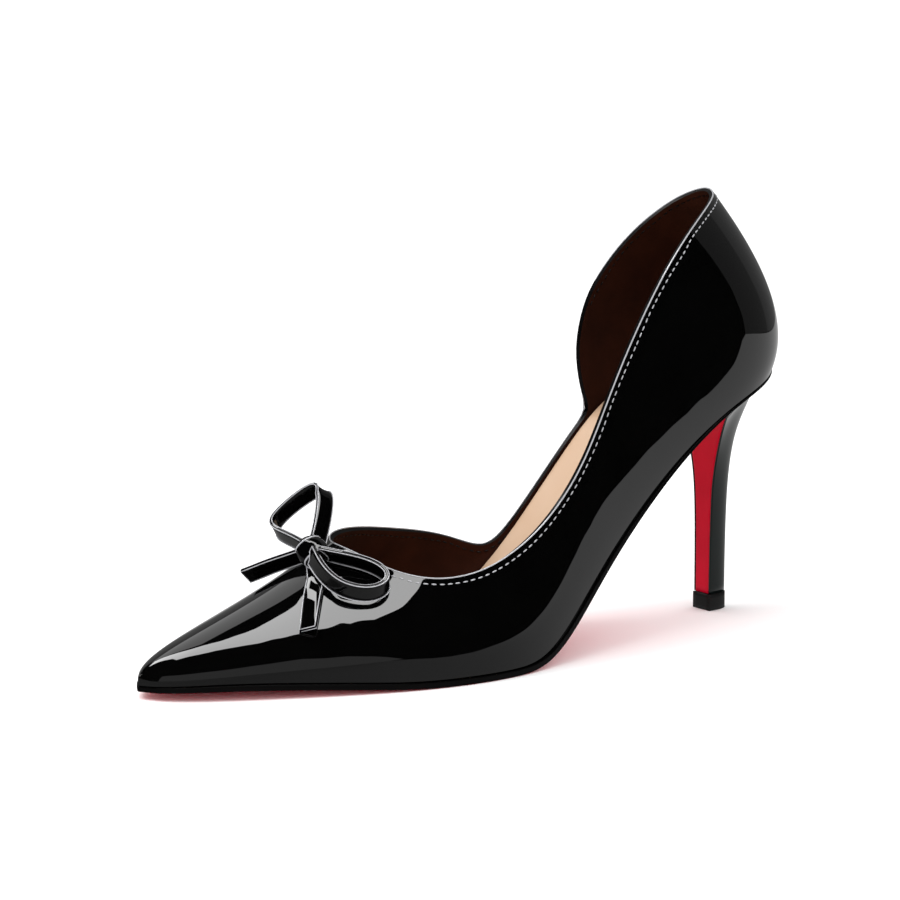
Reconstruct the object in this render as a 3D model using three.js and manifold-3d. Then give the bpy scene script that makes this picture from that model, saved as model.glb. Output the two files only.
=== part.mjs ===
// A pointed court shoe for the left foot on a slim stiletto heel.
// The outer side is closed from toe to counter, the inner side is cut down to the insole at the waist.
// x runs from the toe tip to the back of the counter, minus y is the outer side, z is up from the floor.
import * as THREE from 'three';
import { mergeVertices } from 'three/addons/utils/BufferGeometryUtils.js';
import Module from 'manifold-3d';

const manifold = await Module();
manifold.setup();

// Driving dimensions of the last, in millimetres
const LENGTH = 232;
const BALL_WIDTH = 75;
const WAIST_WIDTH = 44;
const SEAT_HEIGHT = 73.5;
const SEAT_INSET = 0.8;
const SEAT_BACK_INSET = 2.2;
const TOE_SPRING = 3;
const ARCH_TWIST = 5.2;
const WAIST_BELLY = 1.2;
const INSTEP_HEIGHT = 37.7;
const QUARTER_HEIGHT = 60.5;

// Driving dimensions of the made pieces
const UPPER_WALL = 1.6;
const CUTOUT_STRIP = 3;
const SOLE_THICKNESS = 1.8;
const SOLE_MARGIN = 0.8;
const INSOLE_THICKNESS = 2.4;
const TOP_PIECE_HEIGHT = 5.1;
const TOP_PIECE_MARGIN = 0.25;
const SHAFT_WIDTH = 7.6;
const SHAFT_DEPTH = 8.5;
const SHAFT_SETBACK = 17.9;
const SHAFT_ROUNDNESS = 0.8;
const BREAST_SETBACK = 34;
const COVER_THICKNESS = 0.9;
const COVER_LIP = 0.6;

// Driving dimensions of the bow, which lies a quarter of the way back, a little under the instep's height
const BOW_SETBACK = LENGTH / 4;
const BOW_DROP = 2.4;
const BOW_REACH = 25;
const RIBBON_WIDTH = 5.4;
const RIBBON_THICKNESS = 1.1;
const RIBBON_ROUNDING = 0.25;
const KNOT_FORWARD = 1.6;
const KNOT_OFFSET = -2.2;
const KNOT_RISE = 1.6;
const KNOT_LENGTH = 9.6;
const KNOT_WIDTH = 11.2;
const KNOT_THICKNESS = 6;
const KNOT_FACE = { back: -0.50, over: -0.50, up: 0.71 };

// Clearances between pieces that meet
const SEAM_GAP = 0.3;
const HEEL_GAP = 0.38;
const INSOLE_GAP = 0.35;
const COVER_GAP = 0.2;
const KNOT_GAP = 0.25;

// Line of the sole under the foot, one row for each twentieth of the length from the toe tip.
// spring is a share of the toe spring, pitch of the seat height, twist of the arch twist, belly of the
// waist belly, thick of the sole's thickness and margin of the sole's margin.
const SOLE_LINE = [
  { spring: 0.72, pitch: 0.000, twist: 0.00, belly: 0.0, thick: 0.80, margin: 0.30 },
  { spring: 0.86, pitch: 0.000, twist: 0.00, belly: 0.0, thick: 0.95, margin: 0.85 },
  { spring: 0.90, pitch: 0.000, twist: 0.00, belly: 0.0, thick: 1.00, margin: 1.00 },
  { spring: 0.80, pitch: 0.000, twist: 0.00, belly: 0.0, thick: 1.00, margin: 1.00 },
  { spring: 0.60, pitch: 0.000, twist: 0.00, belly: 0.0, thick: 1.00, margin: 1.00 },
  { spring: 0.36, pitch: 0.000, twist: 0.00, belly: 0.0, thick: 1.00, margin: 1.00 },
  { spring: 0.06, pitch: 0.000, twist: 0.00, belly: 0.0, thick: 1.00, margin: 1.00 },
  { spring: 0.00, pitch: 0.000, twist: 0.00, belly: 0.0, thick: 1.00, margin: 1.00 },
  { spring: 0.00, pitch: 0.000, twist: 0.00, belly: 0.0, thick: 1.00, margin: 1.00 },
  { spring: 0.00, pitch: 0.000, twist: 0.00, belly: 0.0, thick: 1.00, margin: 1.00 },
  { spring: 0.00, pitch: 0.000, twist: 0.00, belly: 0.0, thick: 0.98, margin: 1.00 },
  { spring: 0.00, pitch: 0.090, twist: 0.00, belly: 0.4, thick: 0.94, margin: 1.00 },
  { spring: 0.00, pitch: 0.256, twist: 0.20, belly: 0.8, thick: 0.88, margin: 0.95 },
  { spring: 0.00, pitch: 0.436, twist: 0.75, belly: 1.0, thick: 0.80, margin: 0.90 },
  { spring: 0.00, pitch: 0.594, twist: 1.10, belly: 1.0, thick: 0.72, margin: 0.80 },
  { spring: 0.00, pitch: 0.742, twist: 1.30, belly: 0.8, thick: 0.64, margin: 0.65 },
  { spring: 0.00, pitch: 0.856, twist: 1.05, belly: 0.4, thick: 0.56, margin: 0.45 },
  { spring: 0.00, pitch: 0.937, twist: 0.55, belly: 0.0, thick: 0.50, margin: 0.20 },
  { spring: 0.00, pitch: 0.985, twist: 0.20, belly: 0.0, thick: 0.46, margin: 0.05 },
  { spring: 0.00, pitch: 1.028, twist: 0.00, belly: 0.0, thick: 0.44, margin: 0.00 },
  { spring: 0.00, pitch: 1.100, twist: 0.00, belly: 0.0, thick: 0.44, margin: 0.00 },
];

// Ribs of the upper, once round from the toe tip over the outer side, the back and the inner side.
// footX and topX are shares of the length, footY and topY of the ball width, for the foot of the rib on
// the feather line and its head on the topline. instep, pitch and rise are the head's height as shares
// of the instep height, the seat height and the quarter height. strip is 1 where the wall is cut down
// to the low strip beside the insole. shoulder is the share of the rib's height that climbs before it
// turns, spread its outward swing as a share of the ball width. pull is how far down the rib its head
// leans on, lift and swell push that lean up and outward, as shares of the instep height and the ball
// width. steps is how many columns of the wall lead to the next row.
const RIBS = [
  { footX: 0.000, footY: 0.050, topX: 0.283, topY: -0.007, instep: 1.000, pitch: 0.000, rise: 0.000,
    strip: 0, shoulder: 0.26, spread: 0.070, pull: 0.42, lift: -0.09, swell: 0.000, steps: 1 },
  { footX: 0.012, footY: -0.007, topX: 0.283, topY: -0.040, instep: 0.995, pitch: 0.000, rise: 0.000,
    strip: 0, shoulder: 0.26, spread: 0.045, pull: 0.42, lift: -0.09, swell: 0.004, steps: 2 },
  { footX: 0.034, footY: -0.077, topX: 0.283, topY: -0.080, instep: 0.987, pitch: 0.000, rise: 0.000,
    strip: 0, shoulder: 0.26, spread: 0.024, pull: 0.42, lift: -0.09, swell: 0.010, steps: 2 },
  { footX: 0.073, footY: -0.150, topX: 0.285, topY: -0.127, instep: 0.973, pitch: 0.000, rise: 0.000,
    strip: 0, shoulder: 0.27, spread: 0.016, pull: 0.42, lift: -0.09, swell: 0.018, steps: 3 },
  { footX: 0.134, footY: -0.245, topX: 0.290, topY: -0.187, instep: 0.942, pitch: 0.000, rise: 0.000,
    strip: 0, shoulder: 0.31, spread: 0.020, pull: 0.42, lift: -0.06, swell: 0.030, steps: 3 },
  { footX: 0.207, footY: -0.347, topX: 0.303, topY: -0.260, instep: 0.881, pitch: 0.000, rise: 0.000,
    strip: 0, shoulder: 0.35, spread: 0.022, pull: 0.42, lift: -0.03, swell: 0.042, steps: 3 },
  { footX: 0.284, footY: -0.440, topX: 0.328, topY: -0.327, instep: 0.815, pitch: 0.000, rise: 0.000,
    strip: 0, shoulder: 0.38, spread: 0.022, pull: 0.42, lift: 0.00, swell: 0.050, steps: 3 },
  { footX: 0.358, footY: -0.493, topX: 0.366, topY: -0.384, instep: 0.780, pitch: 0.000, rise: 0.000,
    strip: 0, shoulder: 0.38, spread: 0.020, pull: 0.42, lift: 0.00, swell: 0.050, steps: 2 },
  { footX: 0.422, footY: -0.507, topX: 0.414, topY: -0.417, instep: 0.815, pitch: 0.000, rise: 0.000,
    strip: 0, shoulder: 0.38, spread: 0.016, pull: 0.42, lift: 0.00, swell: 0.040, steps: 2 },
  { footX: 0.483, footY: -0.484, topX: 0.461, topY: -0.427, instep: 0.940, pitch: 0.000, rise: 0.000,
    strip: 0, shoulder: 0.38, spread: 0.014, pull: 0.42, lift: 0.00, swell: 0.028, steps: 2 },
  { footX: 0.547, footY: -0.424, topX: 0.506, topY: -0.421, instep: 1.000, pitch: 0.052, rise: 0.000,
    strip: 0, shoulder: 0.38, spread: 0.014, pull: 0.42, lift: 0.00, swell: 0.022, steps: 2 },
  { footX: 0.612, footY: -0.367, topX: 0.549, topY: -0.409, instep: 0.700, pitch: 0.120, rise: 0.250,
    strip: 0, shoulder: 0.36, spread: 0.016, pull: 0.42, lift: 0.00, swell: 0.020, steps: 2 },
  { footX: 0.677, footY: -0.328, topX: 0.589, topY: -0.389, instep: 0.300, pitch: 0.230, rise: 0.550,
    strip: 0, shoulder: 0.34, spread: 0.020, pull: 0.42, lift: 0.00, swell: 0.024, steps: 2 },
  { footX: 0.741, footY: -0.311, topX: 0.624, topY: -0.367, instep: 0.000, pitch: 0.330, rise: 0.860,
    strip: 0, shoulder: 0.32, spread: 0.026, pull: 0.42, lift: 0.00, swell: 0.034, steps: 2 },
  { footX: 0.802, footY: -0.308, topX: 0.667, topY: -0.352, instep: 0.000, pitch: 0.480, rise: 0.965,
    strip: 0, shoulder: 0.30, spread: 0.032, pull: 0.42, lift: 0.00, swell: 0.046, steps: 2 },
  { footX: 0.858, footY: -0.309, topX: 0.722, topY: -0.325, instep: 0.000, pitch: 0.660, rise: 1.035,
    strip: 0, shoulder: 0.27, spread: 0.038, pull: 0.43, lift: 0.00, swell: 0.062, steps: 3 },
  { footX: 0.909, footY: -0.280, topX: 0.784, topY: -0.268, instep: 0.000, pitch: 0.800, rise: 1.070,
    strip: 0, shoulder: 0.24, spread: 0.052, pull: 0.44, lift: 0.00, swell: 0.082, steps: 3 },
  { footX: 0.946, footY: -0.220, topX: 0.836, topY: -0.190, instep: 0.000, pitch: 0.890, rise: 1.062,
    strip: 0, shoulder: 0.22, spread: 0.068, pull: 0.45, lift: 0.00, swell: 0.128, steps: 3 },
  { footX: 0.972, footY: -0.126, topX: 0.876, topY: -0.097, instep: 0.000, pitch: 0.950, rise: 1.045,
    strip: 0, shoulder: 0.21, spread: 0.073, pull: 0.45, lift: 0.00, swell: 0.141, steps: 2 },
  { footX: 0.982, footY: 0.000, topX: 0.888, topY: 0.000, instep: 0.000, pitch: 0.970, rise: 1.042,
    strip: 0, shoulder: 0.21, spread: 0.073, pull: 0.45, lift: 0.00, swell: 0.150, steps: 2 },
  { footX: 0.972, footY: 0.128, topX: 0.886, topY: 0.097, instep: 0.000, pitch: 0.960, rise: 1.022,
    strip: 0, shoulder: 0.21, spread: 0.071, pull: 0.45, lift: 0.00, swell: 0.141, steps: 3 },
  { footX: 0.947, footY: 0.226, topX: 0.870, topY: 0.190, instep: 0.000, pitch: 0.940, rise: 0.982,
    strip: 0, shoulder: 0.22, spread: 0.058, pull: 0.45, lift: 0.00, swell: 0.122, steps: 2 },
  { footX: 0.911, footY: 0.283, topX: 0.835, topY: 0.253, instep: 0.000, pitch: 0.890, rise: 0.930,
    strip: 0, shoulder: 0.24, spread: 0.042, pull: 0.44, lift: 0.00, swell: 0.078, steps: 2 },
  { footX: 0.864, footY: 0.296, topX: 0.790, topY: 0.284, instep: 0.000, pitch: 0.820, rise: 0.848,
    strip: 0, shoulder: 0.27, spread: 0.036, pull: 0.43, lift: 0.00, swell: 0.050, steps: 2 },
  { footX: 0.826, footY: 0.290, topX: 0.745, topY: 0.292, instep: 0.000, pitch: 0.740, rise: 0.715,
    strip: 0, shoulder: 0.30, spread: 0.028, pull: 0.42, lift: 0.00, swell: 0.028, steps: 1 },
  { footX: 0.804, footY: 0.285, topX: 0.729, topY: 0.290, instep: 0.000, pitch: 0.700, rise: 0.530,
    strip: 0, shoulder: 0.32, spread: 0.016, pull: 0.42, lift: 0.00, swell: 0.012, steps: 1 },
  { footX: 0.784, footY: 0.286, topX: 0.744, topY: 0.287, instep: 0.000, pitch: 0.740, rise: 0.290,
    strip: 0, shoulder: 0.33, spread: 0.006, pull: 0.42, lift: 0.00, swell: 0.004, steps: 1 },
  { footX: 0.764, footY: 0.283, topX: 0.764, topY: 0.283, instep: 0.000, pitch: 0.770, rise: 0.100,
    strip: 1, shoulder: 0.33, spread: 0.000, pull: 0.33, lift: 0.00, swell: 0.000, steps: 1 },
  { footX: 0.735, footY: 0.275, topX: 0.735, topY: 0.275, instep: 0.000, pitch: 0.700, rise: 0.100,
    strip: 1, shoulder: 0.33, spread: 0.000, pull: 0.33, lift: 0.00, swell: 0.000, steps: 1 },
  { footX: 0.690, footY: 0.260, topX: 0.690, topY: 0.260, instep: 0.000, pitch: 0.600, rise: 0.100,
    strip: 1, shoulder: 0.33, spread: 0.000, pull: 0.33, lift: 0.00, swell: 0.000, steps: 1 },
  { footX: 0.640, footY: 0.247, topX: 0.640, topY: 0.247, instep: 0.000, pitch: 0.480, rise: 0.100,
    strip: 1, shoulder: 0.33, spread: 0.000, pull: 0.33, lift: 0.00, swell: 0.000, steps: 2 },
  { footX: 0.590, footY: 0.268, topX: 0.600, topY: 0.268, instep: 0.660, pitch: 0.000, rise: 0.000,
    strip: 0.6, shoulder: 0.33, spread: 0.000, pull: 0.33, lift: 0.00, swell: 0.002, steps: 2 },
  { footX: 0.543, footY: 0.317, topX: 0.566, topY: 0.312, instep: 0.730, pitch: 0.000, rise: 0.000,
    strip: 0, shoulder: 0.36, spread: 0.010, pull: 0.42, lift: 0.00, swell: 0.018, steps: 2 },
  { footX: 0.485, footY: 0.389, topX: 0.508, topY: 0.354, instep: 0.832, pitch: 0.000, rise: 0.000,
    strip: 0, shoulder: 0.38, spread: 0.016, pull: 0.42, lift: 0.00, swell: 0.036, steps: 2 },
  { footX: 0.422, footY: 0.447, topX: 0.450, topY: 0.330, instep: 0.900, pitch: 0.000, rise: 0.000,
    strip: 0, shoulder: 0.38, spread: 0.020, pull: 0.42, lift: 0.00, swell: 0.052, steps: 2 },
  { footX: 0.355, footY: 0.473, topX: 0.399, topY: 0.280, instep: 0.965, pitch: 0.000, rise: 0.000,
    strip: 0, shoulder: 0.37, spread: 0.022, pull: 0.42, lift: -0.03, swell: 0.060, steps: 3 },
  { footX: 0.284, footY: 0.457, topX: 0.356, topY: 0.225, instep: 1.010, pitch: 0.000, rise: 0.000,
    strip: 0, shoulder: 0.35, spread: 0.022, pull: 0.42, lift: -0.06, swell: 0.054, steps: 3 },
  { footX: 0.207, footY: 0.397, topX: 0.323, topY: 0.170, instep: 1.030, pitch: 0.000, rise: 0.000,
    strip: 0, shoulder: 0.32, spread: 0.022, pull: 0.42, lift: -0.09, swell: 0.042, steps: 3 },
  { footX: 0.134, footY: 0.320, topX: 0.301, topY: 0.118, instep: 1.028, pitch: 0.000, rise: 0.000,
    strip: 0, shoulder: 0.29, spread: 0.020, pull: 0.42, lift: -0.09, swell: 0.030, steps: 3 },
  { footX: 0.073, footY: 0.237, topX: 0.290, topY: 0.073, instep: 1.018, pitch: 0.000, rise: 0.000,
    strip: 0, shoulder: 0.27, spread: 0.016, pull: 0.42, lift: -0.09, swell: 0.018, steps: 2 },
  { footX: 0.034, footY: 0.170, topX: 0.285, topY: 0.040, instep: 1.008, pitch: 0.000, rise: 0.000,
    strip: 0, shoulder: 0.26, spread: 0.024, pull: 0.42, lift: -0.09, swell: 0.010, steps: 2 },
  { footX: 0.012, footY: 0.105, topX: 0.283, topY: 0.015, instep: 1.003, pitch: 0.000, rise: 0.000,
    strip: 0, shoulder: 0.26, spread: 0.045, pull: 0.42, lift: -0.09, swell: 0.004, steps: 1 },
];

// Heel from the top piece to the seat: height is the share of the way up. reach, breast and spread are how
// far the section has grown from the slim shaft to the seat outline, at its back, its front and its sides.
const HEEL_ROWS = [
  { height: 0.00, reach: 0.000, breast: 0.00, spread: 0.000 },
  { height: 0.14, reach: 0.006, breast: 0.00, spread: 0.004 },
  { height: 0.28, reach: 0.016, breast: 0.00, spread: 0.010 },
  { height: 0.42, reach: 0.044, breast: 0.00, spread: 0.022 },
  { height: 0.54, reach: 0.104, breast: 0.01, spread: 0.045 },
  { height: 0.64, reach: 0.205, breast: 0.02, spread: 0.098 },
  { height: 0.72, reach: 0.345, breast: 0.04, spread: 0.165 },
  { height: 0.79, reach: 0.560, breast: 0.08, spread: 0.248 },
  { height: 0.85, reach: 0.780, breast: 0.15, spread: 0.345 },
  { height: 0.90, reach: 0.910, breast: 0.27, spread: 0.460 },
  { height: 0.94, reach: 0.965, breast: 0.43, spread: 0.590 },
  { height: 0.97, reach: 0.985, breast: 0.65, spread: 0.760 },
  { height: 1.00, reach: 1.000, breast: 1.00, spread: 1.000 },
];

// Middle line of each ribbon of the bow from the knot outward, as shares of the bow's reach from the middle
// of the knot: back toward the heel, over toward the inner side, up. faceBack, faceOver and faceUp are the
// way across the ribbon's width.
const INNER_LOOP = [
  { back: -0.020, over: 0.070, up: 0.060, faceBack: 0.44, faceOver: 0.36, faceUp: -0.82 },
  { back: -0.065, over: 0.260, up: 0.120, faceBack: 0.44, faceOver: 0.30, faceUp: -0.85 },
  { back: -0.100, over: 0.460, up: 0.155, faceBack: 0.46, faceOver: 0.24, faceUp: -0.85 },
  { back: -0.110, over: 0.640, up: 0.185, faceBack: 0.54, faceOver: 0.20, faceUp: -0.82 },
  { back: -0.060, over: 0.740, up: 0.260, faceBack: 0.60, faceOver: 0.18, faceUp: -0.78 },
  { back: 0.060, over: 0.695, up: 0.390, faceBack: 0.64, faceOver: 0.15, faceUp: -0.75 },
  { back: 0.180, over: 0.625, up: 0.505, faceBack: 0.66, faceOver: 0.06, faceUp: -0.75 },
  { back: 0.295, over: 0.540, up: 0.610, faceBack: 0.72, faceOver: -0.12, faceUp: -0.68 },
  { back: 0.395, over: 0.440, up: 0.680, faceBack: 0.78, faceOver: -0.30, faceUp: -0.55 },
  { back: 0.405, over: 0.345, up: 0.640, faceBack: 0.80, faceOver: -0.38, faceUp: -0.46 },
  { back: 0.340, over: 0.250, up: 0.510, faceBack: 0.82, faceOver: -0.34, faceUp: -0.46 },
  { back: 0.235, over: 0.145, up: 0.350, faceBack: 0.85, faceOver: -0.24, faceUp: -0.46 },
  { back: 0.130, over: 0.060, up: 0.200, faceBack: 0.90, faceOver: -0.12, faceUp: -0.42 },
  { back: 0.030, over: -0.020, up: 0.080, faceBack: 0.92, faceOver: -0.06, faceUp: -0.40 },
];
const OUTER_LOOP = [
  { back: -0.150, over: -0.175, up: 0.066, faceBack: -0.10, faceOver: 0.60, faceUp: -0.79 },
  { back: -0.198, over: -0.365, up: -0.030, faceBack: -0.06, faceOver: 0.52, faceUp: -0.85 },
  { back: -0.208, over: -0.560, up: -0.136, faceBack: 0.00, faceOver: 0.42, faceUp: -0.91 },
  { back: -0.150, over: -0.760, up: -0.240, faceBack: 0.10, faceOver: 0.32, faceUp: -0.94 },
  { back: 0.010, over: -0.930, up: -0.300, faceBack: 0.24, faceOver: 0.24, faceUp: -0.94 },
  { back: 0.180, over: -1.040, up: -0.290, faceBack: 0.34, faceOver: 0.28, faceUp: -0.90 },
  { back: 0.330, over: -1.050, up: -0.220, faceBack: 0.38, faceOver: 0.40, faceUp: -0.83 },
  { back: 0.385, over: -0.960, up: -0.140, faceBack: 0.34, faceOver: 0.44, faceUp: -0.83 },
  { back: 0.330, over: -0.840, up: -0.060, faceBack: 0.30, faceOver: 0.46, faceUp: -0.83 },
  { back: 0.240, over: -0.705, up: -0.010, faceBack: 0.30, faceOver: 0.48, faceUp: -0.82 },
  { back: 0.145, over: -0.540, up: 0.020, faceBack: 0.32, faceOver: 0.50, faceUp: -0.80 },
  { back: 0.055, over: -0.370, up: 0.040, faceBack: 0.36, faceOver: 0.54, faceUp: -0.76 },
  { back: -0.020, over: -0.200, up: 0.060, faceBack: 0.40, faceOver: 0.58, faceUp: -0.71 },
];
const INNER_TAIL = [
  { back: -0.060, over: 0.030, up: 0.020, faceBack: 0.55, faceOver: 0.30, faceUp: -0.78 },
  { back: -0.180, over: 0.240, up: -0.080, faceBack: 0.58, faceOver: 0.24, faceUp: -0.78 },
  { back: -0.270, over: 0.470, up: -0.175, faceBack: 0.60, faceOver: 0.18, faceUp: -0.78 },
  { back: -0.340, over: 0.640, up: -0.260, faceBack: 0.62, faceOver: 0.12, faceUp: -0.78 },
  { back: -0.410, over: 0.800, up: -0.335, faceBack: 0.64, faceOver: 0.06, faceUp: -0.77 },
];
const OUTER_TAIL = [
  { back: -0.080, over: -0.135, up: -0.035, faceBack: 0.05, faceOver: -0.96, faceUp: -0.26 },
  { back: -0.115, over: -0.220, up: -0.115, faceBack: 0.05, faceOver: -0.96, faceUp: -0.26 },
  { back: -0.160, over: -0.310, up: -0.188, faceBack: 0.08, faceOver: -0.96, faceUp: -0.26 },
  { back: -0.225, over: -0.375, up: -0.250, faceBack: 0.16, faceOver: -0.95, faceUp: -0.25 },
  { back: -0.335, over: -0.485, up: -0.338, faceBack: 0.22, faceOver: -0.95, faceUp: -0.20 },
  { back: -0.445, over: -0.615, up: -0.455, faceBack: 0.24, faceOver: -0.96, faceUp: -0.14 },
  { back: -0.540, over: -0.725, up: -0.565, faceBack: 0.24, faceOver: -0.97, faceUp: -0.07 },
  { back: -0.602, over: -0.795, up: -0.648, faceBack: 0.24, faceOver: -0.97, faceUp: -0.02 },
];

// Mesh densities
const WALL_ROWS = 11;
const PLATE_COLUMNS = 8;
const HEEL_BACK_STEPS = 26;
const HEEL_FRONT_STEPS = 4;
const INSOLE_FIT_STEPS = 66;
const LOOP_STEPS = 48;
const TAIL_STEPS = 12;
const KNOT_STEPS = 20;
const KNOT_LEVELS = 10;

// Step of a rib place or a share when a direction is measured, and the distance at which points are one
const SLOPE_STEP = 0.02;
const SAME_POINT = 1e-4;

const UP = new THREE.Vector3(0, 0, 1);

// The four weights of a uniform cubic B-spline at a fraction t between two rows.
function splineWeights(t) {
  const s = 1 - t;
  return [
    (s * s * s) / 6,
    (3 * t * t * t - 6 * t * t + 4) / 6,
    (3 * s * s * s - 6 * s * s + 4) / 6,
    (t * t * t) / 6,
  ];
}

// Every column of an open table at a place counted in rows, its ends carried on in a straight line.
function openRow(rows, place) {
  const last = rows.length - 1;
  const start = Math.min(Math.max(Math.floor(place), 0), last - 1);
  const weights = splineWeights(place - start);
  const result = {};
  for (const key of Object.keys(rows[0])) {
    const before = start > 0 ? rows[start - 1][key] : 2 * rows[0][key] - rows[1][key];
    const after = start + 2 <= last ? rows[start + 2][key] : 2 * rows[last][key] - rows[last - 1][key];
    const values = [before, rows[start][key], rows[start + 1][key], after];
    result[key] = values.reduce((sum, value, index) => sum + value * weights[index], 0);
  }
  return result;
}

// Every column of a closed table at a place counted in rows.
function closedRow(rows, place) {
  const start = Math.floor(place);
  const weights = splineWeights(place - start);
  const result = {};
  for (const key of Object.keys(rows[0])) {
    result[key] = weights.reduce((sum, weight, index) => {
      const row = rows[(start + index - 1 + 2 * rows.length) % rows.length];
      return sum + weight * row[key];
    }, 0);
  }
  return result;
}

// The sole's line at a distance from the toe tip.
function soleRow(x) {
  return openRow(SOLE_LINE, (x / LENGTH) * (SOLE_LINE.length - 1));
}

// Height of the sole's underside at any place under the shoe.
function soleBottom(x, y) {
  const row = soleRow(x);
  const across = y / WAIST_WIDTH;
  const belly = Math.max(0, 1 - 4 * across * across) * row.belly * WAIST_BELLY;
  return row.spring * TOE_SPRING + row.pitch * SEAT_HEIGHT + row.twist * ARCH_TWIST * across - belly;
}

// How much longer a thickness is when it is measured straight up through the sloping sole.
function slopeFactor(x) {
  const slope = (soleBottom(x + 1, 0) - soleBottom(x - 1, 0)) / 2;
  return Math.hypot(1, slope);
}

// Height of a layer that lies a share of the sole's thickness and a clear height above the underside.
function layerHeight(x, y, soleShare, above) {
  const thickness = soleRow(x).thick * SOLE_THICKNESS * soleShare;
  return soleBottom(x, y) + (thickness + above) * slopeFactor(x);
}

// Place of each column of the wall, counted in rows of the rib table.
const COLUMN_PLACES = RIBS.flatMap((rib, index) =>
  Array.from({ length: rib.steps }, (unused, step) => index + step / rib.steps));

// Point of the feather line moved outward in plan, negative for inward.
function featherPoint(place, outward) {
  const here = closedRow(RIBS, place);
  const ahead = closedRow(RIBS, place + SLOPE_STEP);
  const behind = closedRow(RIBS, place - SLOPE_STEP);
  const runX = (ahead.footX - behind.footX) * LENGTH;
  const runY = (ahead.footY - behind.footY) * BALL_WIDTH;
  const run = Math.hypot(runX, runY);
  return {
    x: here.footX * LENGTH + (outward * runY) / run,
    y: here.footY * BALL_WIDTH - (outward * runX) / run,
    normal: new THREE.Vector3(runY / run, -runX / run, 0),
  };
}

// Outside of the upper: a place round the shoe and a share of the way from feather line to topline.
function upperPoint(place, share) {
  const rib = closedRow(RIBS, place);
  const foot = featherPoint(place, 0);
  const start = new THREE.Vector3(foot.x, foot.y, layerHeight(foot.x, foot.y, 1, SEAM_GAP));
  const freeZ = rib.instep * INSTEP_HEIGHT + rib.pitch * SEAT_HEIGHT + rib.rise * QUARTER_HEIGHT;
  const topX = rib.topX * LENGTH;
  const topY = rib.topY * BALL_WIDTH;
  const stripZ = layerHeight(topX, topY, 1, SEAM_GAP + CUTOUT_STRIP);
  const end = new THREE.Vector3(topX, topY, freeZ + (stripZ - freeZ) * rib.strip);
  const climb = (end.z - start.z) * rib.shoulder;
  const low = start.clone().addScaledVector(UP, climb);
  low.addScaledVector(foot.normal, rib.spread * BALL_WIDTH);
  const high = end.clone().lerp(start, rib.pull);
  high.addScaledVector(UP, rib.lift * INSTEP_HEIGHT);
  high.addScaledVector(foot.normal, rib.swell * BALL_WIDTH);
  return new THREE.CubicBezierCurve3(start, low, high, end).getPoint(share);
}

// The upper's outward direction, from the two ways across its surface.
function upperNormal(place, share) {
  const low = Math.max(share - SLOPE_STEP, 0);
  const high = Math.min(share + SLOPE_STEP, 1);
  const along = upperPoint(place + SLOPE_STEP, share).sub(upperPoint(place - SLOPE_STEP, share));
  const climb = upperPoint(place, high).sub(upperPoint(place, low));
  return along.cross(climb).normalize();
}

// A solid from a list of points and a list of triangles that name them.
function solid(points, triangles) {
  const geometry = new THREE.BufferGeometry();
  const numbers = points.flatMap((point) => [point.x, point.y, point.z]);
  geometry.setAttribute('position', new THREE.Float32BufferAttribute(numbers, 3));
  geometry.setIndex(triangles.flat());
  const merged = mergeVertices(geometry, SAME_POINT);
  merged.computeVertexNormals();
  return merged;
}

// Two triangles for a four-cornered face.
function square(triangles, a, b, c, d) {
  triangles.push([a, b, c]);
  triangles.push([a, c, d]);
}

// A solid through closed rings of equal length: stacked rings join to each other, the last to the first.
function ringSolid(rings) {
  const count = rings[0].length;
  const points = rings.flat();
  const triangles = [];
  rings.forEach((ring, row) => {
    const next = (row + 1) % rings.length;
    const low = row * count;
    const high = next * count;
    for (let column = 0; column < count; column += 1) {
      const beside = (column + 1) % count;
      square(triangles, low + column, low + beside, high + beside, high + column);
    }
  });
  return solid(points, triangles);
}

// Triangles that close a ring by a fan about its middle, seen from above. first is the number of its
// first point.
function fanCap(points, ring, first) {
  const sum = ring.reduce((total, point) => total.add(point), new THREE.Vector3());
  const centre = points.push(sum.divideScalar(ring.length)) - 1;
  return ring.map((unused, column) => [centre, first + column, first + ((column + 1) % ring.length)]);
}

// A solid from stacked rings, closed at both ends.
function cappedSolid(rings, cap = fanCap) {
  const count = rings[0].length;
  const points = rings.flat();
  const triangles = [];
  for (let row = 0; row + 1 < rings.length; row += 1) {
    for (let column = 0; column < count; column += 1) {
      const beside = (column + 1) % count;
      const low = row * count;
      const high = low + count;
      square(triangles, low + column, low + beside, high + beside, high + column);
    }
  }
  const last = rings.length - 1;
  triangles.push(...cap(points, rings[last], last * count));
  triangles.push(...cap(points, rings[0], 0).map(([a, b, c]) => [a, c, b]));
  return solid(points, triangles);
}

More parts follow.
